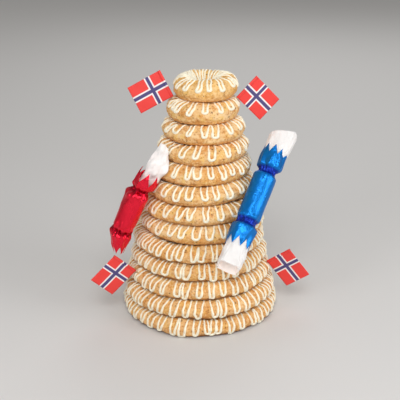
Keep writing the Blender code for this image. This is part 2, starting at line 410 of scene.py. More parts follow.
def baked_dough():
    """Golden crust with browner clouds, pale grains of almond and small dark specks of skin, with
    painted shade towards the soles and on the lower rings.
    """
    material, plan, place = finish_plan("baked_almond_dough")

    def baked(size, detail=2.0):
        return clouds(place, size, detail, Roughness=0.6)

    def specks(cell, size, share):
        cells = plan.add("ShaderNodeTexVoronoi", {}, {"Vector": place, "Scale": 1 / cell})
        chosen = plan.add("ShaderNodeSeparateColor", {}, [cells["Color"]]) < share
        return smooth_step(cells, size / cell, size * 0.5 / cell) * chosen

    across = plan.add("ShaderNodeAttribute", {"attribute_name": "across"})["Fac"]
    from_sole = abs(across - 0.5)
    level = plan.add("ShaderNodeSeparateXYZ", {}, [place])["Z"]
    # painted shade: the lower rings darker and more orange
    low = smooth_step(level, PAINTED_SHADE_LOW_LEVEL, PAINTED_SHADE_LOW_LEVEL - 0.05)
    top = smooth_step(level, TOP_RING_LEVEL, TOP_RING_LEVEL + 0.008)
    grain = baked(GRAIN, 3.0)
    skins = specks(*SMALL_SKINS).sum("MAXIMUM", specks(*LARGE_SKINS))
    # painted shade: brown near each ring's sole, where the rings meet, stronger lower down the
    # tower
    painted_shade = smooth_step(from_sole, 0.172, 0.124) * smooth_step(level, PAINTED_SHADE_BELOW, 0.01)
    colour = mixed(smooth_step(baked(BAKING_CLOUDS), 0.36, 0.68), PALE_DOUGH, GOLDEN_DOUGH)
    for share, tint in (
            (smooth_step(baked(YELLOW_CLOUDS), 0.50, 0.60) * 0.8, YELLOW_DOUGH),
            (smooth_step(baked(BLOTCHES), 0.47, 0.64) * 0.75, ORANGE_DOUGH_AND_SHADE),
            # the undersides: partly the mould's browner bottom, partly painted shade in the
            # crevices
            (smooth_step(from_sole, 0.21, 0.10) * 0.85, ORANGE_DOUGH_AND_SHADE),
            # painted shade on the lower rings
            (low * 0.34, ORANGE_DOUGH_AND_SHADE),
            (top * 0.45, YELLOW_DOUGH),
            # painted shade under the top ring
            (top * smooth_step(from_sole, 0.27, 0.15) * 0.55, ORANGE_DOUGH_AND_SHADE),
            (smooth_step(grain, 0.52, 0.66) * 0.8, PALE_DOUGH),
            (smooth_step(grain, 0.46, 0.33) * 0.8, BROWN_DOUGH),
            (skins * 0.75, SPECK_BROWN),
            # painted shade where the rings meet
            (painted_shade, PAINTED_SHADE_BROWN)):
        colour = mixed(share, colour, tint)
    relief = grain * 0.6 + baked(FINE_GRAIN, 1.0) * 0.3 - skins * 0.6
    close_finish(plan, {"Base Color": colour, "Roughness": 0.62 + grain * 0.25,
                        "Normal": bumped(relief, 0.0007)})
    return material


ring_tree, ring_ids = rolled_ring()
dough = baked_dough()
rings = []
for number in range(1, RING_COUNT + 1):
    node = f"ring_{number:02d}"
    low, high = (Vector(corner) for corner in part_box(node))
    centre = Vector(((low.x + high.x) / 2, (low.y + high.y) / 2, low.z))
    rope_radius = (high.x - low.x - ROPE_WIDTH) / 2
    ring = grow(f"dough_{node}", bpy.data.meshes.new("dough"), ring_tree, ring_ids, {
        "Centre": centre, "Radius": rope_radius, "Height": high.z - low.z,
        "Steps round": round(math.tau * (rope_radius + ROPE_WIDTH / 2) / STEP_ROUND),
        "Seed": 1.7 * number, "Material": dough})
    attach(ring, "root")
    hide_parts(node)
    rings.append((ring, centre, rope_radius, high.z - low.z))


# ==== The icing ===============================================
# Egg-white icing, piped from a bag in one zigzag round each ring before the next is set on it:
# from the hollow over the crown, down the outer face, round a bend and back.
LINE_SIDES = 8
LINE_STEP = 0.0010
LINE_SINK = 0.15                        # how deep its middle lies in the dough, in line radii
INNER_REACH = 0.017                     # from the crown into the hollow, along the dough
EARLY_TURNS = 0.10                      # share of inner bends that stay on the outer face
EARLY_REACH = 0.0045
EARLY_WIDTH = 0.86                      # such a bend is narrow: the zigzags beside it widen
EARLY_PULL = 0.17                       # and their tips come closer, in zigzags
FAN_OUT = 0.0038                        # how far the tips at the sides swing to the back
SLANT = 0.0022                          # how far all the tips swing one way
HAND_SWAY = 0.0007                      # the hand's small wanderings from the line
HAND_SWAY_LENGTH = 0.009
WIDTHS_VARY = (0.82, 1.18)              # from one zigzag to the next, and so do the reaches
REACHES_VARY = (0.88, 1.06)
EARLY_REACHES_VARY = (0.2, 1.5)
LEGS_STRAY = 0.04                       # in zigzags
TIPS_STRAY = 0.12
# the line's radius: at its thinnest, and what an uneven squeeze and a slow bend add to it
THINNEST, SQUEEZE, SLOW_BEND = 0.44, 0.50, 0.42
SQUEEZE_LENGTH = 1 / 9                  # in radians
ROPE_REACH = 0.0125                     # length along the section that goes with one radian
DROP_FROM = 0.02                        # it is dropped from this far out of the rope's middle
BEND_STEPS = 6
# ring by ring from the top: zigzags, reach down the outer face in radians, widths at the tip and
# in the hollow as shares of a zigzag, and the line's radius
ZIGZAGS = (
    (16, 1.52, 0.24, 0.54, 0.00165), (16, 1.45, 0.30, 0.62, 0.00158),
    (18, 1.52, 0.29, 0.66, 0.00160), (19, 1.66, 0.27, 0.60, 0.00160),
    (26, 1.72, 0.32, 0.72, 0.00158), (26, 1.74, 0.31, 0.72, 0.00160),
    (27, 1.76, 0.31, 0.82, 0.00157), (29, 1.74, 0.32, 0.84, 0.00157),
    (37, 2.05, 0.36, 0.82, 0.00154), (36, 2.10, 0.34, 0.84, 0.00156),
    (37, 2.10, 0.31, 0.78, 0.00160), (38, 2.14, 0.34, 0.82, 0.00160),
    (41, 2.18, 0.33, 0.80, 0.00160),
)
# where the line starts on each ring, in turns
STARTS = (0.0015, 0.05, 0.3393, 0.55, 0.688, 0.8252, 0.973, 0.10, 0.2375, 0.3815, 0.523, 0.632,
          0.78)
# where the hand went over a ring again: ring, start and length in turns, and line radius
REPEATS = (
    (1, 0.36, 0.15, 0.00180), (1, 0.3984, 0.125, 0.00190), (2, 0.59, 0.0625, 0.00175),
    (13, 0.765, 0.022, 0.00150),
)
FIRST_REPEAT_SEED = 41
ICING_CREAM = (0.96, 0.90, 0.715)
ICING_SKIN = 0.0022


def between(start, end, share):
    return start + (end - start) * share


def piped_zigzag():
    """A bead of icing along a zigzag that is laid out flat, then dropped onto the dough."""
    plan, given, ids = shape_plan("piped_zigzag", {
        "Centre": "Vector", "Radius": "Float", "Zigzags": "Int", "Turns": "Float",
        "Reach": "Float", "Tip width": "Float", "Root width": "Float", "Start": "Float",
        "Line radius": "Float", "Seed": "Int", "Material": "Material"})

    def chance(low, high, pick, salt):
        return plan.add("FunctionNodeRandomValue", {"data_type": "FLOAT"},
                        {"Min": low, "Max": high, "ID": pick, "Seed": given["Seed"] * 10 + salt})

    index = plan.add("GeometryNodeInputIndex")
    zigzag = index // 4
    leg = index // 2
    corner = index - zigzag * 4
    second_leg = corner > 1.5
    outer_end = 1 - (abs(corner - 1.5) > 1.0)
    length = given["Radius"] * math.tau
    pitch = length / given["Zigzags"]
    inner_turn = (index + 1) // 4
    early, early_before, early_after = (
        chance(0.0, 1.0, turn, 5) < EARLY_TURNS for turn in (inner_turn, zigzag, zigzag + 1))
    early = early * (1 - outer_end)
    width = between(given["Root width"], given["Tip width"], outer_end)
    width = between(width * chance(*WIDTHS_VARY, zigzag, 1), EARLY_WIDTH, early)
    along = zigzag + 0.5 + (second_leg - 0.5) * width + chance(-LEGS_STRAY, LEGS_STRAY, leg, 2)
    along = along + outer_end * (chance(-TIPS_STRAY, TIPS_STRAY, zigzag, 3)
                                 + (early_after - early_before) * EARLY_PULL)
    outer_reach = given["Reach"] * ROPE_REACH * chance(*REACHES_VARY, zigzag, 4)
    early_reach = EARLY_REACH * chance(*EARLY_REACHES_VARY, inner_turn, 6)
    inner_reach = early * early_reach - (1 - early) * INNER_REACH
    across = outer_end * outer_reach + (1 - outer_end) * inner_reach
    corners = plan.add("GeometryNodeMeshLine", {}, {
        "Count": (given["Zigzags"] * given["Turns"]).sum("ROUND") * 4})
    corners = plan.add("GeometryNodeSetPosition", {}, {
        "Geometry": corners, "Position": joined(along * pitch, across, 0.0)})
    line = plan.add("GeometryNodeMeshToCurve", {}, {"Mesh": corners})
    line = plan.add("GeometryNodeFilletCurve", {"mode": "POLY"},
                    {"Curve": line, "Count": BEND_STEPS, "Radius": pitch, "Limit Radius": True})
    line = plan.add("GeometryNodeResampleCurve", {"mode": "LENGTH"},
                    {"Curve": line, "Length": LINE_STEP})

    flat = plan.add("GeometryNodeInputPosition")
    sway = clouds(flat, HAND_SWAY_LENGTH, 0.0, W=given["Seed"])
    flat = plan.add("ShaderNodeSeparateXYZ", {}, [flat])
    swayed = flat["X"] + swelling(sway, HAND_SWAY)
    lean = flat["Y"] / ROPE_REACH
    down = lean / given["Reach"]
    to_side = turn_of(swayed / length + given["Start"])[0]
    swing = down * (to_side * FAN_OUT - SLANT) / given["Radius"]
    round_cos, round_sin = turn_of(swayed / length + given["Start"] + swing / math.tau)
    up, out = lean.sum("COSINE"), lean.sum("SINE")
    outward = joined(out * round_cos, out * round_sin, up)
    rope = vector("ADD", given["Centre"],
                  joined(given["Radius"] * round_cos, given["Radius"] * round_sin, 0.0))
    far = vector("MULTIPLY_ADD", outward, (DROP_FROM,) * 3, rope)
    bend = smooth_step(down, 0.2, 1.0)
    squeeze = clouds(outward, SQUEEZE_LENGTH, 1.0)
    thickness = given["Line radius"] * (THINNEST + squeeze * SQUEEZE + bend * SLOW_BEND)
    hit = plan.add("GeometryNodeRaycast", {}, {
        "Target Geometry": given["Geometry"], "Source Position": far,
        "Ray Direction": stretched(outward, -1.0), "Ray Length": DROP_FROM})
    sink = stretched(hit["Hit Normal"], thickness * -LINE_SINK)
    landed = vector("ADD", hit["Hit Position"], sink)
    line = plan.add("GeometryNodeSetCurveRadius", {}, {"Curve": line, "Radius": thickness})
    line = plan.add("GeometryNodeSetPosition", {}, {"Geometry": line, "Position": landed})
    section = plan.add("GeometryNodeCurvePrimitiveCircle", {},
                       {"Resolution": LINE_SIDES, "Radius": 1.0})
    bead = plan.add("GeometryNodeCurveToMesh", {}, {
        "Curve": line, "Profile Curve": section, "Scale": plan.add("GeometryNodeInputRadius"),
        "Fill Caps": True})
    close_plan(plan, bead, given["Material"])
    return plan.tree, ids


def sugar_icing():
    """Cream-white, smooth and a little glossy, with a faint skin where it has dried."""
    material, plan, place = finish_plan("sugar_icing")
    skin = clouds(place, ICING_SKIN)
    colour = mixed(skin, ICING_CREAM, tuple(part * 0.94 for part in ICING_CREAM))
    close_finish(plan, {"Base Color": colour, "Roughness": 0.34 + skin * 0.16,
                        "Normal": bumped(skin, 0.0004, 0.12),
                        "Coat Weight": 0.25, "Coat Roughness": 0.2})
    return material


icing_tree, icing_ids = piped_zigzag()
icing = sugar_icing()


def iced(name, number, start, turns, seed, line_radius=None):
    """Pipes one line of icing on a ring, all the way round it or part of the way."""
    ring, centre, rope_radius, rope_height = rings[number - 1]
    zigzags, reach, tip_width, root_width, usual_radius = ZIGZAGS[number - 1]
    line = grow(name, ring.data, icing_tree, icing_ids, {
        "Centre": centre + Vector((0, 0, rope_height / 2)), "Radius": rope_radius,
        "Zigzags": zigzags, "Turns": turns, "Reach": reach, "Tip width": tip_width,
        "Root width": root_width, "Start": start, "Line radius": line_radius or usual_radius,
        "Seed": seed, "Material": icing})
    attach(line, "root")


for number in range(1, RING_COUNT + 1):
    iced(f"icing_{number:02d}", number, STARTS[number - 1], 1.0, number)
for count, (number, start, turns, line_radius) in enumerate(REPEATS):
    iced(f"icing_{number:02d}_again_{count + 1}", number, start, turns, FIRST_REPEAT_SEED + count,
         line_radius)


# ==== The picks ===============================================
# Cocktail picks of birch, pushed through the upper edge of a ring. Most of a pick is in the dough
# and in the flag's sleeve, so only a short stretch of bare wood shows.
BIRCH = (0.72, 0.55, 0.36)
BIRCH_GRAIN = (0.52, 0.36, 0.20)
FIBRES = 0.0006
FLAG_NAMES = ("upper_left", "upper_right", "lower_left", "lower_right")


def birch_wood():
    """Pale birch with short darker fibres."""
    material, plan, place = finish_plan("birch_wood")
    fibres = clouds(place, FIBRES, 3.0, Distortion=0.4)
    close_finish(plan, {"Base Color": mixed(fibres, BIRCH, BIRCH_GRAIN),
                        "Roughness": 0.5 + fibres * 0.2, "Normal": bumped(fibres, 0.0002, 0.3)})
    return material


birch = birch_wood()
for name in FLAG_NAMES:
    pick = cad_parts[f"pick_{name}"]
    pick.data.materials.clear()
    pick.data.materials.append(birch)


# ==== The flags ===============================================
# Paper flags: a printed strip folded round its pick and glued to itself, red with a white-edged
# blue cross that sits nearer the pick. They are nearly flat, with a slight curl from the fold.
FLAG_HEIGHT = 0.034
FLAG_LENGTH = 0.044
SHEET = 0.0002                          # half of the doubled sheet
SLEEVE_RADIUS = 0.0016
SLEEVE_STEPS = 14
FLAG_COLUMNS = 36
FLAG_ROWS = 22
FLAG_CURL = 0.0016
FLAG_FLUTTER = 0.0005
FLUTTERS_ALONG = 70                     # to the metre, along the flag and up the pick
FLUTTERS_UP = 60
FLAG_TO_FLAG = 3.1                      # how far apart the flags lie in the noise
# where each lies, as its solid does: foot from the tower's axis, heading, rise and turn in degrees
FLAG_PLACES = {
    "upper_left": ((-0.031, -0.008, 0.275), 154, 59, 17),
    "upper_right": ((0.045, -0.0035, 0.2715), 16, 44, 5),
    "lower_left": ((-0.080, -0.040, 0.064), 191, 42, -6),
    "lower_right": ((0.0835, -0.015, 0.063), -14, 34, 10),
}
CROSS_PLACE = 9 / 23                    # the cross's middle, along the flag
BLUE_HALF = 0.060                       # half widths of the bands, in flag heights
WHITE_HALF = 0.112
PRINT_EDGE = 0.012
FLAG_RED = (0.88, 0.045, 0.036)
FLAG_WHITE = (0.92, 0.86, 0.85)
FLAG_BLUE = (0.075, 0.060, 0.205)
PAPER_TOOTH = 0.0009
FADING = 0.02


def leaning(place, heading, rise):
    """Places a piece that is made upright on the spot: its Z axis turns to heading and rise."""
    return (Matrix.Translation(tower_axis + Vector(place))
            @ Matrix.Rotation(math.radians(heading), 4, "Z")
            @ Matrix.Rotation(math.radians(90 - rise), 4, "Y"))


def finished_piece(name, mesh, material, slot, *nodes):
    """A piece with its place in its mesh, riding on the cake in place of its solids."""
    mesh.materials.append(material)
    mesh.shade_smooth()
    piece = bpy.data.objects.new(name, mesh)
    bpy.context.scene.collection.objects.link(piece)
    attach(piece, "root")
    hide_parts(*nodes)
    return piece


def flag_outline():
    """The folded strip seen from above: out along one side, round the far edge and back."""
    start = math.asin(SHEET / SLEEVE_RADIUS)
    outline = []
    for k in range(FLAG_COLUMNS + 1):
        share = k / FLAG_COLUMNS
        outline.append((between(FLAG_LENGTH, SLEEVE_RADIUS, share), SHEET))
    for k in range(1, SLEEVE_STEPS):
        angle = start + (math.tau - 2 * start) * k / SLEEVE_STEPS
        outline.append((SLEEVE_RADIUS * math.cos(angle), SLEEVE_RADIUS * math.sin(angle)))
    return outline + [(x, -SHEET) for x, y in reversed(outline[:FLAG_COLUMNS + 1])]


def paper_flag(seed, matrix, curl):
    """The strip's mesh, with its print laid out in a UV map: along the flag and up the pick."""
    mesh = bpy.data.meshes.new("paper_flag")
    shape = bmesh.new()
    print_map = shape.loops.layers.uv.new("print")
    outline = flag_outline()
    rows = []
    for level in range(FLAG_ROWS + 1):
        up = FLAG_HEIGHT * level / FLAG_ROWS
        row = []
        for x, y in outline:
            out = max(0.0, x / FLAG_LENGTH)
            bow = curl * out * out + FLAG_FLUTTER * out * noise.noise(
                Vector((x * FLUTTERS_ALONG, up * FLUTTERS_UP, seed * FLAG_TO_FLAG)))
            row.append(shape.verts.new(matrix @ Vector((x, y + bow, up))))
        rows.append(row)
    places = {}
    for level, row in enumerate(rows):
        for (x, y), corner in zip(outline, row):
            places[corner] = (max(0.0, x / FLAG_LENGTH), level / FLAG_ROWS)
    for lower, upper in zip(rows, rows[1:]):
        for k in range(len(outline)):
            after = (k + 1) % len(outline)
            shape.faces.new((lower[k], lower[after], upper[after], upper[k]))
    last = len(outline) - 1
    for row in (rows[0], rows[-1]):
        for k in range(FLAG_COLUMNS):
            shape.faces.new((row[k], row[k + 1], row[last - k - 1], row[last - k]))
        shape.faces.new(row[FLAG_COLUMNS:last - FLAG_COLUMNS + 1])
    for face in shape.faces:
        for loop in face.loops:
            loop[print_map].uv = places[loop.vert]
    bmesh.ops.recalc_face_normals(shape, faces=shape.faces)
    shape.to_mesh(mesh)
    shape.free()
    return mesh


def printed_paper():
    """Red print with a blue cross edged in white, on smooth paper with a faint tooth."""
    material, plan, place = finish_plan("printed_flag_paper")
    layout = plan.add("ShaderNodeSeparateXYZ", {}, [
        plan.add("ShaderNodeUVMap", {"uv_map": "print"})])
    from_upright = abs((layout["X"] - CROSS_PLACE) * (FLAG_LENGTH / FLAG_HEIGHT))
    from_level = abs(layout["Y"] - 0.5)
    nearest = from_level.sum("MINIMUM", from_upright)

    def band(half):
        return plan.add("ShaderNodeMapRange", {}, [nearest, half - PRINT_EDGE / 2,
                                                   half + PRINT_EDGE / 2, 1.0, 0.0])

    tooth = clouds(place, PAPER_TOOTH)
    faded = clouds(place, FADING)
    field = mixed(faded * 0.5, FLAG_RED, tuple(part * 0.9 + 0.02 for part in FLAG_RED))
    colour = mixed(band(WHITE_HALF), field, FLAG_WHITE)
    colour = mixed(band(BLUE_HALF), colour, FLAG_BLUE)
    close_finish(plan, {"Base Color": colour, "Roughness": 0.42 + tooth * 0.12,
                        "Normal": bumped(tooth, 0.0002, 0.15)})
    return material


flag_paper = printed_paper()
for seed, name in enumerate(FLAG_NAMES):
    foot, heading, rise, turn = FLAG_PLACES[name]
    matrix = leaning(foot, heading, rise) @ Matrix.Rotation(math.radians(turn), 4, "Z")
    curl = FLAG_CURL if name.endswith("right") else -FLAG_CURL
    finished_piece(f"paper_flag_{name}", paper_flag(seed, matrix, curl), flag_paper,
                   "flag_paper", f"flag_{name}")


# ==== The crackers ============================================
# Party crackers: a card tube rolled in metallic paper, choked with thread at two necks, where the
# paper gathers in pleats, and cut into points at both ends. They lean beside the cake.
STEPS_PER_POINT = 24
FOIL_ROW = 0.0008
FOIL_WALL = 0.0003
CUP_FLOOR = 0.007
NECK_POWER = 3.4
CUFF_PLACE = 0.0062                     # where the foil beyond the neck is full again
PLEATS = 17
PLEAT_DEPTH = 0.0011
PLEAT_REACH = 0.0062
CRUMPLE_REACH = 0.0110
FLARE_DENT = 0.0014
BEND_REACH = 0.008                      # a bent end has its whole bend this far out
PUSH_REACH = 0.007                      # and a pushed end starts this far inside its neck
LEAN_REACH = 0.014                      # points of this length lean in by their whole measure
# how finely crumples and dents change round the tube, and with the pleats along it; how finely the
# pleats wander, and how far in radians; and the dents in the barrel, as a share of its crumpling
CRUMPLES_ROUND, DENTS_ROUND = 1.8, 1.3
FOLDS_ALONG, CRUMPLES_ALONG, DENTS_ALONG = 110, 90, 36
WANDER_ROUND, WANDER = 1.5, 3
BARREL_DENTS = 0.25
FLAT_TILT, GATHERED_TILT = 0.05, 0.45   # how far facets tilt in smooth and in gathered foil
FACETS = 0.0040                         # sizes of the flat facets, creases and wrinkles
CREASES_APART = 0.010
WRINKLES = 0.0030
DRIFT_SIZE, DRIFT = 0.012, 0.004        # how they drift from straight lines
# an end: radii of barrel, neck, cuff and mouth, half width of the trough that the thread pulls in,
# notches and points out from the neck, how far the points are turned, how far the end is pushed
# over sideways, its bend in degrees, how far the tips of its points lean in, and how square the
# barrel's shoulder is
End = namedtuple("End", "barrel neck cuff mouth trough notch point turn push bend lean shoulder")
BLUE_LOW = End(0.0140, 0.0110, 0.0150, 0.0147, 0.0047, 0.021, 0.032, 0, 0, 0, 0, 3.4)
BLUE_HIGH = End(0.0140, 0.0102, 0.0152, 0.0148, 0.0047, 0.021, 0.032, 0.5, 0, 0, 0, 3.4)
RED_LOW = End(0.0126, 0.0104, 0.0126, 0.0092, 0.0032, 0.019, 0.030, 0.45, 0, 12, 0, 2.2)
RED_HIGH = End(0.0147, 0.0092, 0.0126, 0.0138, 0.0042, 0.012, 0.0265, 0.6, 0.0012, 6, 0.0055, 1.8)
# place of the middle from the tower's axis, heading, rise, neck spacing, points, how deep the
# foil is crumpled, and its two ends
CRACKERS = {
    "blue": ((0.0666, -0.050, 0.1640), 57, 45, 0.067, 9, 0.0010, BLUE_LOW, BLUE_HIGH),
    "red": ((-0.0821, -0.046, 0.1479), 0, 66, 0.0565, 7, 0.0026, RED_LOW, RED_HIGH),
}
FOIL_SEEDS = (11, 16)
BLUE_FOIL = (0.0, 0.188, 0.62)
# painted shade colour in the blue's gathered necks
BLUE_FOIL_PAINTED_SHADE = (0.003, 0.012, 0.34)
RED_FOIL = (0.92, 0.020, 0.050)
# painted shade colour in the red's gathered necks
RED_FOIL_PAINTED_SHADE = (0.38, 0.0, 0.014)


def clamped(share):
    return min(1.0, max(0.0, share))


def hump(distance, width, power=2.0):
    return math.exp(-abs(distance / width) ** power)


def ripple(angle, fineness, *shift):
    """Smooth noise round a tube."""
    return noise.noise(Vector((math.cos(angle) * fineness, math.sin(angle) * fineness, 0.0))
                       + Vector(shift))


def foil_radius(out, angle, level, barrel, crumpling, end, seed):
    """The foil's radius at a distance out from a neck (inwards is negative), and its crimping."""
    opening = max(0.0, (out - CUFF_PLACE) / (end.notch - CUFF_PLACE))
    body = barrel if out < 0 else between(end.cuff, end.mouth, opening)
    choke = hump(out, end.trough, end.shoulder if out < 0 else NECK_POWER)
    wander = WANDER * ripple(angle, WANDER_ROUND, 0, 0, seed)
    fold = abs(math.sin(PLEATS / 2 * angle + wander + level * FOLDS_ALONG)) - 0.6
    crumple = 2 * abs(ripple(angle, CRUMPLES_ROUND, seed, 0, level * CRUMPLES_ALONG)) - 0.4
    dent = 1 - 2 * abs(ripple(angle, DENTS_ROUND, 0, seed, level * DENTS_ALONG)) - 0.5
    flared = clamped(out / CUFF_PLACE)
    radius = between(body, end.neck, choke) + PLEAT_DEPTH * fold * hump(out, PLEAT_REACH)
    radius += crumpling * crumple * hump(out, CRUMPLE_REACH)
    return radius + dent * (FLARE_DENT * flared + crumpling * BARREL_DENTS), choke


def foil_row(out, side, spacing, points, crumpling, ends, seed, cut=0.0, inset=0.0):
    """One closed row of corners round the foil, and how crimped it is there."""
    end, other = ends
    to_middle = max(0.0, -out / spacing)
    barrel = between(end.barrel, other.barrel, to_middle)
    row = []
    for step in range(points * STEPS_PER_POINT):
        angle = math.tau * (step / STEPS_PER_POINT + end.turn) / points
        tip = 1 - abs(2 * (step / STEPS_PER_POINT % 1) - 1)
        reach = out + cut * tip
        level = side * (spacing / 2 + reach)
        radius, choke = foil_radius(reach, angle, level, barrel, crumpling, end, seed)
        radius -= end.lean * (cut * tip / LEAN_REACH) ** 2
        bend = math.radians(end.bend) * clamped(reach / BEND_REACH)
        across = (radius - inset) * math.cos(angle)
        along = reach * math.cos(bend) - across * math.sin(bend)
        across = across * math.cos(bend) + max(0.0, reach) * math.sin(bend)
        across += end.push * clamped(1 + reach / PUSH_REACH)
        row.append((Vector((across, (radius - inset) * math.sin(angle),
                            side * (spacing / 2 + along))), choke))
    return row


def foil_end_rows(side, spacing, points, crumpling, ends, seed):
    """From the floor inside an end, up over its cut mouth, down outside and on to the middle."""
    notch = ends[0].notch
    cut = ends[0].point - notch
    style = (side, spacing, points, crumpling, ends, seed)
    count = round(notch / FOIL_ROW)
    shares = [k / count for k in range(count + 1)]
    inside = [foil_row(between(CUP_FLOOR, notch, share), *style, cut * share, FOIL_WALL)
              for share in shares]
    outside = [foil_row(notch * share, *style, cut * share) for share in reversed(shares)]
    half = round(spacing / 2 / FOIL_ROW)
    barrel = [foil_row(-spacing / 2 * k / half, *style) for k in range(1, half)]
    return inside + outside + barrel


def foil_wrapper(name, seed, place, heading, rise, spacing, points, crumpling, low, high):
    """The whole foil as one closed skin, with a 'crimp' attribute for its finish."""
    rows = foil_end_rows(-1, spacing, points, crumpling, (low, high), seed)
    rows += reversed(foil_end_rows(1, spacing, points, crumpling, (high, low), seed))
    return lofted(name, rows, leaning(place, heading, rise))


def lofted(name, rows, matrix, label="crimp"):
    """A closed mesh over rows of (corner, amount); each end is closed by a fan to its middle."""
    shape = bmesh.new()
    crimp = shape.verts.layers.float.new(label)
    loops = []
    for row in rows:
        loop = []
        for corner, amount in row:
            vert = shape.verts.new(matrix @ corner)
            vert[crimp] = amount
            loop.append(vert)
        loops.append(loop)
    for lower, upper in zip(loops, loops[1:]):
        for k, corner in enumerate(lower):
            after = (k + 1) % len(lower)
            shape.faces.new((corner, lower[after], upper[after], upper[k]))
    for loop in (loops[0], loops[-1]):
        middle = sum((vert.co for vert in loop), Vector()) / len(loop)
        pole = shape.verts.new(middle)
        for k, corner in enumerate(loop):
            shape.faces.new((corner, loop[(k + 1) % len(loop)], pole))
    bmesh.ops.recalc_face_normals(shape, faces=shape.faces)
    mesh = bpy.data.meshes.new(name)
    shape.to_mesh(mesh)
    shape.free()
    return mesh


def metallic_paper(name, colour, painted_shade_colour, metallic, roughness, wrinkled):
    """Coloured foil paper: satin, finely wrinkled, with small flat facets where it is gathered and
    painted shade in its gathered necks.
    """
    material, plan, place = finish_plan(name)
    crimp = plan.add("ShaderNodeAttribute", {"attribute_name": "crimp"})["Fac"]
    drift = clouds(place, DRIFT_SIZE, 1.0)
    warped = vector("MULTIPLY_ADD", drift["Color"], (DRIFT,) * 3, place)
    facets = plan.add("ShaderNodeTexVoronoi", {}, {"Vector": warped, "Scale": 1 / FACETS})
    tilt = vector("SUBTRACT", facets["Color"], (0.5,) * 3)
    tilt = stretched(tilt, FLAT_TILT + crimp * GATHERED_TILT)
    creases = plan.add("ShaderNodeTexVoronoi", {"feature": "DISTANCE_TO_EDGE"},
                       {"Vector": warped, "Scale": 1 / CREASES_APART})
    relief = creases.sum("MINIMUM", 0.10) * 2 + clouds(warped, WRINKLES, Distortion=0.8)
    normal = vector("NORMALIZE", vector("ADD", bumped(relief, 0.0007, wrinkled), tilt))
    # painted shade: the crimped necks darkened towards the shade colour
    shade = plan.add("ShaderNodeMapRange", {}, [crimp, 0.15, 0.75, 0.0, 0.9])
    close_finish(plan, {"Base Color": mixed(shade, colour, painted_shade_colour), "Metallic": metallic,
                        "Roughness": roughness + drift * 0.16, "Normal": normal})
    return material


FOILS = {"blue": metallic_paper("blue_foil_paper", BLUE_FOIL, BLUE_FOIL_PAINTED_SHADE, 0.70, 0.26, 0.5),
         "red": metallic_paper("red_foil_paper", RED_FOIL, RED_FOIL_PAINTED_SHADE, 0.90, 0.20, 0.25)}
for seed, (name, parts) in zip(FOIL_SEEDS, CRACKERS.items()):
    foil = foil_wrapper(f"foil_{name}", seed, *parts)
    finished_piece(f"foil_wrapper_{name}", foil, FOILS[name], f"{name}_foil",
                   f"cracker_{name}_foil")


# ==== The paper sleeves =======================================
# Soft white crepe paper inside the foil, rolled with the cracker and left standing out of its
# ends: open tubes with a slightly crushed mouth and long shallow folds.
SLEEVE_WALL = 0.0005
SLEEVE_START = 0.0085
SLEEVE_ROW = 0.0012
SLEEVE_SIDES = 96
CREPE_WHITE = (0.87, 0.845, 0.83)
# painted shade in its folds
CREPE_SHADE = (0.84, 0.815, 0.80)
# its inner side, painted lighter and pinker towards the mouth
CREPE_INSIDE_PAINTED_LIGHT = (0.93, 0.86, 0.82)
PAINTED_GLOW_THROUGH = (0.24, 0.205, 0.19)     # a painted glow on the inner side, for the light that the thin paper lets through
CRIMPS = 0.0011
SOFT_FOLDS = 0.011
# end of the blue cracker, length from the neck, where it starts to be crushed, half width and
# half thickness at the mouth, how boxy that is, how far its middle is pushed to one side, how far
# the mouth is skewed, how far its long corner is worn off, the side that all three face (degrees),
# and how deep the folds are
Sleeve = namedtuple("Sleeve", "end length crushed_from half_width half_thickness boxiness shift "
                              "skew worn facing folds")
SLEEVES = (
    Sleeve("low", 0.058, 0.030, 0.0140, 0.0136, 5.5, 0.0, 0.0024, 0.0, 32, 0.0027),
    Sleeve("high", 0.0535, 0.019, 0.0162, 0.0115, 2.3, 0.0016, 0.0058, 0.0060, 298, 0.0010),
)
SLEEVE_SEEDS = (0.0, 4.3)
LONG_FOLDS = (1.6, 40)                  # how finely they change round the tube and along it
SHORT_FOLDS = (5, 90)
SLEEVE_RADIUS_IN_FOIL = 0.0135
CLEAR_OF_POINTS = 0.012                 # the inner wall widens only beyond the foil's points


def signed(value, power):
    return math.copysign(abs(value) ** power, value)


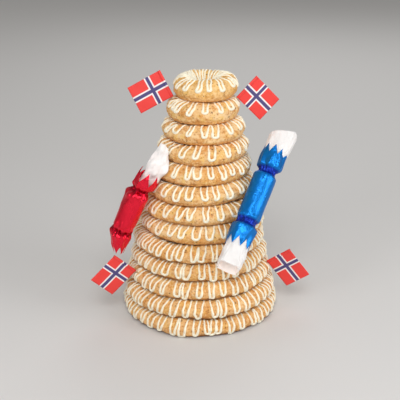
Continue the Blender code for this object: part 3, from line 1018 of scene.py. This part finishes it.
def sleeve_row(out, sleeve, wall, side, spacing, seed):
    """One closed row of the tube: round at the neck, flatter or boxier at the mouth."""
    length, crushed_from = sleeve.length, sleeve.crushed_from
    crush = clamped((out - crushed_from) / (length - crushed_from))
    power = 2 / (2 + (sleeve.boxiness - 2) * crush)
    swell_from = crushed_from + (CLEAR_OF_POINTS if wall else 0.0)
    swollen = max(0.0, (out - swell_from) / (length - swell_from))
    swell = math.sin(min(1.0, 2 * swollen) * math.pi / 2)
    wide = between(SLEEVE_RADIUS_IN_FOIL, sleeve.half_width, swell) - wall
    thin = between(SLEEVE_RADIUS_IN_FOIL, sleeve.half_thickness, crush) - wall
    turn = math.radians(sleeve.facing)
    # how much painted light and glow the inner wall gets, growing towards the mouth
    painted_glow = ((out - SLEEVE_START) / (length - SLEEVE_START)) ** 2 if wall else 0.0
    row = []
    for step in range(SLEEVE_SIDES):
        angle = math.tau * step / SLEEVE_SIDES
        fold = 1 - 2 * abs(ripple(angle, LONG_FOLDS[0], 0, seed, out * LONG_FOLDS[1])) - 0.5
        fold += 0.5 * ripple(angle, SHORT_FOLDS[0], 0, seed, out * SHORT_FOLDS[1])
        push = sleeve.folds * (fold - 0.3) * min(1.0, 3 * crush)
        x = signed(math.cos(angle), power) * (wide + push) + sleeve.shift * swell
        y = signed(math.sin(angle), power) * (thin + push)
        reach = out + sleeve.skew * (out / length) ** 2 * math.cos(angle)
        reach -= sleeve.worn * crush * max(0.0, (math.cos(angle) - 0.7) / 0.3) ** 2
        row.append((Vector((x * math.cos(turn) - y * math.sin(turn),
                            x * math.sin(turn) + y * math.cos(turn),
                            side * (spacing / 2 + reach))), painted_glow))
    return row


def crepe_sleeve(name, sleeve, seed):
    """The tube as one closed skin: up its outer side and down its inner side."""
    place, heading, rise, spacing = CRACKERS["blue"][:4]
    side = 1 if sleeve.end == "high" else -1
    reach = sleeve.length - SLEEVE_START
    count = round(reach / SLEEVE_ROW)
    outs = [SLEEVE_START + reach * k / count for k in range(count + 1)]
    rows = [sleeve_row(out, sleeve, 0.0, side, spacing, seed) for out in outs]
    rows += [sleeve_row(out, sleeve, SLEEVE_WALL, side, spacing, seed) for out in reversed(outs)]
    return lofted(name, rows, leaning(place, heading, rise), "inside")


def crepe_paper(name, white, shade, translucence):
    """White crepe with fine crimps and painted pinkish shade in soft clouds for its folds; light
    comes through it, and its inner side is painted lighter and glows.
    """
    material, plan, place = finish_plan(name)
    crimps = clouds(place, CRIMPS, 3.0)
    folds = clouds(place, SOFT_FOLDS, 1.0, Distortion=0.6)
    # painted shade, in soft clouds, for the shade in its folds
    painted_fold_shade = plan.add("ShaderNodeMapRange", {}, [folds, 0.40, 0.75, 0.0, 0.8])
    inside = plan.add("ShaderNodeAttribute", {"attribute_name": "inside"})["Fac"]
    colour = mixed(painted_fold_shade, white, shade)
    # painted light: the inner side lighter, pinker and glowing towards the mouth
    close_finish(plan, {"Base Color": mixed(inside, colour, CREPE_INSIDE_PAINTED_LIGHT),
                        "Emission Color": mixed(inside, (0.0, 0.0, 0.0), PAINTED_GLOW_THROUGH),
                        "Emission Strength": 1.0, "Roughness": 0.75 + crimps * 0.15,
                        "Normal": bumped(crimps * 0.25 + folds, 0.0012, 0.6),
                        "Subsurface Weight": translucence, "Subsurface Scale": 0.003,
                        "Subsurface Radius": (1.0, 0.9, 0.85)})
    return material


crepe = crepe_paper("white_crepe_paper", CREPE_WHITE, CREPE_SHADE, 0.25)
for seed, sleeve in zip(SLEEVE_SEEDS, SLEEVES):
    name = f"crepe_sleeve_blue_{sleeve.end}"
    finished_piece(name, crepe_sleeve(name, sleeve, seed), crepe, "white_paper",
                   f"cracker_blue_paper_{sleeve.end}")


# ==== The crushed tissue ======================================
# The red cracker's paper is crushed flat by the rings that it lies against. It widens out of the
# foil, narrows to a tip higher up, and is creased in large flat facets.
TISSUE_SIDES = 72
TISSUE_ROWS = 60
# the flat facets it is crushed into: each crease's direction, how far apart, and where it starts
CREASES = (
    ((0.78, 0.30, 0.55), 0.0150, 0.10), ((-0.45, 0.50, 0.74), 0.0112, 0.45),
    ((0.95, -0.20, -0.24), 0.0086, 0.70), ((0.20, 0.60, -0.77), 0.0190, 0.30),
)
CREASE_DEPTH = 0.0021
EDGE_DEPTH = 0.6                        # share of it at the narrow sides
TISSUE_WHITE = (0.90, 0.87, 0.855)
# painted shade in its creases
TISSUE_SHADE = (0.78, 0.71, 0.69)
# sections: out from the neck, across and depth of the middle, half width and half thickness
TISSUE = (
    (0.0085, 0.0025, 0.0, 0.0088, 0.0070),
    (0.020, 0.0072, 0.0, 0.0110, 0.0060),
    (0.038, 0.0080, 0.001, 0.0122, 0.0042),
    (0.052, 0.0075, 0.005, 0.0080, 0.0026),
    (0.060, 0.0049, 0.008, 0.0035, 0.0012),
)


def between_sections(share):
    """The section at a share of the way through the table, on a smooth curve."""
    place = share * (len(TISSUE) - 1)
    k = min(int(place), len(TISSUE) - 2)
    part = place - k
    before, start, end, after = (TISSUE[min(max(k + step, 0), len(TISSUE) - 1)]
                                 for step in (-1, 0, 1, 2))
    blend = []
    for a, b, c, d in zip(before, start, end, after):
        bent = (c - a) * part + (2 * a - 5 * b + 4 * c - d) * part ** 2
        blend.append(b + (bent + (3 * b - a - 3 * c + d) * part ** 3) / 2)
    return blend


def crushed(spot):
    """How far the paper is pushed out at a spot: flat slopes that meet in creases."""
    push = 0.0
    for direction, distance, start in CREASES:
        along = spot.dot(Vector(direction)) / distance + start
        push += abs(2 * (along % 1) - 1) - 0.5
    return push * CREASE_DEPTH


def crushed_tissue():
    place, heading, rise, spacing = CRACKERS["red"][:4]
    rows = []
    for level in range(TISSUE_ROWS + 1):
        share = level / TISSUE_ROWS
        out, across, depth, half_width, half_thickness = between_sections(share)
        row = []
        for step in range(TISSUE_SIDES):
            angle = math.tau * step / TISSUE_SIDES
            x, y = half_width * math.cos(angle), half_thickness * math.sin(angle)
            push = crushed(Vector((x, y, out))) * min(1.0, 3 * share)
            x += push * EDGE_DEPTH * math.cos(angle)
            y += push * signed(math.sin(angle), 0.5)
            row.append((Vector((across + x, depth + y, spacing / 2 + out)), 0.0))
        rows.append(row)
    return lofted("crushed_tissue", rows, leaning(place, heading, rise), "inside")


tissue = crepe_paper("white_tissue", TISSUE_WHITE, TISSUE_SHADE, 0.1)
finished_piece("crushed_tissue_red", crushed_tissue(), tissue, "white_paper",
               "cracker_red_paper_high")
